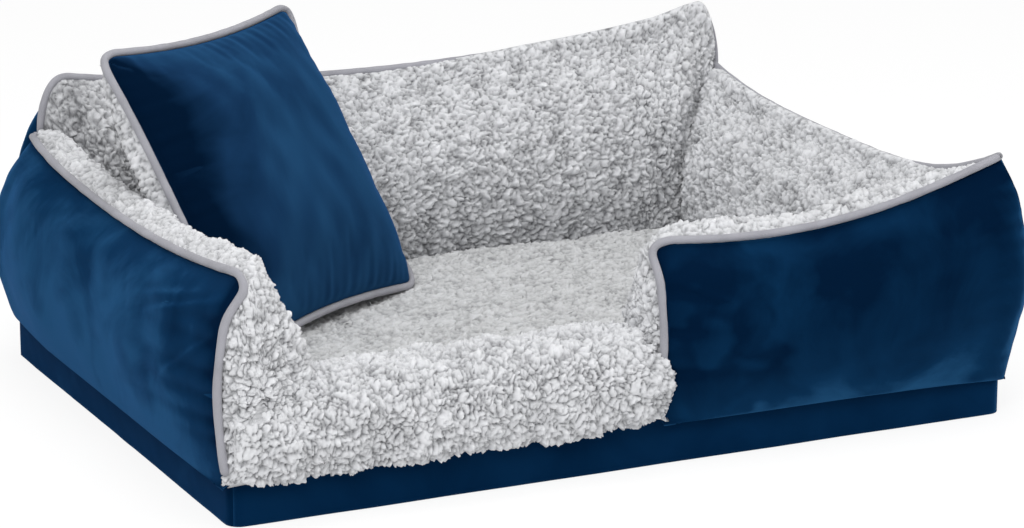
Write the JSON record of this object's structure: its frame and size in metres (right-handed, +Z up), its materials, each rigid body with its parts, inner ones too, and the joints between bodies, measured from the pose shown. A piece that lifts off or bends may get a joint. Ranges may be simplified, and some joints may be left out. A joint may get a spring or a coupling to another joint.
{
  "type": "dog bed",
  "caption": "Rectangular dog bed with a zipped foam base, stuffed velvet and fleece bolsters, a low entry roll and a loose piped cushion.",
  "frame": {"origin": "centre of the base's footprint on the floor", "axes": "+X along the bed's length with the entry roll towards -X, +Y to the high back, +Z up"},
  "size_m": [0.974, 0.7441, 0.3977],
  "materials": {
    "navy_velvet": "short-pile velvet",
    "grey_fleece": "curly fleece",
    "grey_piping": "plain woven cover",
    "fibre_filling": "hollow fibre",
    "foam": "open-cell foam",
    "lining": "woven lining",
    "zip_tape": "woven tape",
    "zip_teeth": "nylon coil",
    "zip_metal": "nickel-plated"
  },
  "bodies": {
    "bed": {"back_bolster_velvet": "navy_velvet", "back_bolster_fleece": "grey_fleece", "back_bolster_filling": "fibre_filling", "back_bolster_piping": "grey_piping", "left_bolster_velvet": "navy_velvet", "left_bolster_fleece": "grey_fleece", "left_bolster_filling": "fibre_filling", "left_bolster_piping": "grey_piping", "right_bolster_velvet": "navy_velvet", "right_bolster_fleece": "grey_fleece", "right_bolster_filling": "fibre_filling", "right_bolster_piping": "grey_piping", "front_bolster_velvet": "navy_velvet", "front_bolster_fleece": "grey_fleece", "front_bolster_filling": "fibre_filling", "front_bolster_piping": "grey_piping", "left_bolster_end": "grey_fleece", "front_bolster_end": "grey_fleece", "entry_roll_cover": "grey_fleece", "entry_roll_filling": "fibre_filling", "seat_wadding": "fibre_filling", "seat_fleece": "grey_fleece", "base_underside": "lining", "base_foam": "foam", "base_top_lining": "lining", "base_front_band": "navy_velvet", "base_back_band": "navy_velvet", "base_left_band": "navy_velvet", "base_right_band": "navy_velvet", "base_zip_tape": "zip_tape", "base_zip_teeth": "zip_teeth"},
    "cushion": {"cushion_velvet": "navy_velvet", "cushion_fleece": "grey_fleece", "cushion_filling": "fibre_filling", "cushion_piping": "grey_piping", "cushion_zip_tape": "zip_tape", "cushion_zip_teeth": "zip_teeth"},
    "cushion_zip_slider": {"cushion_zip_slider": "zip_metal"},
    "cushion_zip_pull": {"cushion_zip_pull": "zip_metal"},
    "base_zip_slider": {"base_zip_slider": "zip_metal"},
    "base_zip_pull": {"base_zip_pull": "zip_metal"}
  },
  "joints": [
    {"name": "cushion_lift", "type": "slide", "parent": "bed", "child": "cushion", "axis": [0, 0, 1], "range_m": [0, 0.45]},
    {"name": "cushion_zip_slide", "type": "slide", "parent": "cushion", "child": "cushion_zip_slider", "axis": [-0.8337, -0.5518, 0.0209], "range_m": [0, 0.1524]},
    {"name": "cushion_zip_pull_swing", "type": "hinge", "parent": "cushion_zip_slider", "child": "cushion_zip_pull", "pos_m": [-0.12563, 0.07737, 0.09166], "axis": [0.4817, -0.7081, 0.5163], "range_deg": [-90, 90]},
    {"name": "base_zip_slide", "type": "slide", "parent": "bed", "child": "base_zip_slider", "axis": [1, 0, 0], "range_m": [0, 0.4444]},
    {"name": "base_zip_pull_swing", "type": "hinge", "parent": "base_zip_slider", "child": "base_zip_pull", "pos_m": [-0.2222, 0.33855, 0.032], "axis": [0, 0, 1], "range_deg": [0, 180]}
  ]
}
